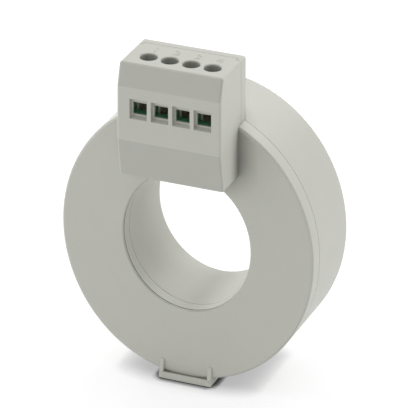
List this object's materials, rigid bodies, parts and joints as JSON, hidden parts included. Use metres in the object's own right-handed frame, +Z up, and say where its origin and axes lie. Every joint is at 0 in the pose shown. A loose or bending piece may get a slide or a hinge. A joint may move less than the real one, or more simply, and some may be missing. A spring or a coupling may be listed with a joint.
{
  "type": "current transformer",
  "caption": "Ring current transformer with a round primary bore, a foot and a screw terminal housing on its front.",
  "frame": {"origin": "centre of the primary bore, halfway between the ring's faces", "axes": "+Y along the bore from the terminal side to the back, +Z up away from the foot"},
  "size_m": [0.06, 0.032, 0.0721],
  "materials": {
    "grey_housing": "fine matte moulding",
    "tray_plastic": "matte moulding",
    "core_alloy": "tape edges, satin",
    "enamelled_copper": "clear enamel",
    "wire_insulation": "smooth sleeve",
    "board_laminate": "solder mask",
    "green_block": "matte moulding",
    "tinned_contact": "tin plated",
    "nickel_clamp": "nickel plated",
    "zinc_screw": "zinc plated"
  },
  "bodies": {
    "housing": {"front_cover": "grey_housing", "rear_case": "grey_housing", "core_tray": "tray_plastic", "core_lid": "tray_plastic", "tape_core": "core_alloy", "secondary_winding": "enamelled_copper", "test_winding": "wire_insulation", "circuit_board": "board_laminate", "terminal_body": "green_block", "contact_pin_1": "tinned_contact", "contact_pin_2": "tinned_contact", "contact_pin_3": "tinned_contact", "contact_pin_4": "tinned_contact", "lead_wire_1": "wire_insulation", "lead_wire_2": "wire_insulation", "lead_wire_3": "wire_insulation", "lead_wire_4": "wire_insulation"},
    "screw_1": {"clamp_screw_1": "zinc_screw"},
    "cage_1": {"clamp_cage_1": "nickel_clamp"},
    "screw_2": {"clamp_screw_2": "zinc_screw"},
    "cage_2": {"clamp_cage_2": "nickel_clamp"},
    "screw_3": {"clamp_screw_3": "zinc_screw"},
    "cage_3": {"clamp_cage_3": "nickel_clamp"},
    "screw_4": {"clamp_screw_4": "zinc_screw"},
    "cage_4": {"clamp_cage_4": "nickel_clamp"}
  },
  "joints": [
    {"name": "screw_turn_1", "type": "hinge", "parent": "housing", "child": "screw_1", "pos_m": [-0.00722, -0.0151, 0.0372], "axis": [0, 0, -1], "range_deg": [0, 1440]},
    {"name": "cage_rise_1", "type": "slide", "parent": "housing", "child": "cage_1", "axis": [0, 0, 1], "range_m": [0, 0.0018]},
    {"name": "screw_turn_2", "type": "hinge", "parent": "housing", "child": "screw_2", "pos_m": [-0.00214, -0.0151, 0.0372], "axis": [0, 0, -1], "range_deg": [0, 1440]},
    {"name": "cage_rise_2", "type": "slide", "parent": "housing", "child": "cage_2", "axis": [0, 0, 1], "range_m": [0, 0.0018]},
    {"name": "screw_turn_3", "type": "hinge", "parent": "housing", "child": "screw_3", "pos_m": [0.00294, -0.0151, 0.0372], "axis": [0, 0, -1], "range_deg": [0, 1440]},
    {"name": "cage_rise_3", "type": "slide", "parent": "housing", "child": "cage_3", "axis": [0, 0, 1], "range_m": [0, 0.0018]},
    {"name": "screw_turn_4", "type": "hinge", "parent": "housing", "child": "screw_4", "pos_m": [0.00802, -0.0151, 0.0372], "axis": [0, 0, -1], "range_deg": [0, 1440]},
    {"name": "cage_rise_4", "type": "slide", "parent": "housing", "child": "cage_4", "axis": [0, 0, 1], "range_m": [0, 0.0018]}
  ],
  "couplings": [
    {"joint": "screw_turn_1", "follows": "cage_rise_1", "rad_per_m": 13963},
    {"joint": "screw_turn_2", "follows": "cage_rise_2", "rad_per_m": 13963},
    {"joint": "screw_turn_3", "follows": "cage_rise_3", "rad_per_m": 13963},
    {"joint": "screw_turn_4", "follows": "cage_rise_4", "rad_per_m": 13963}
  ]
}
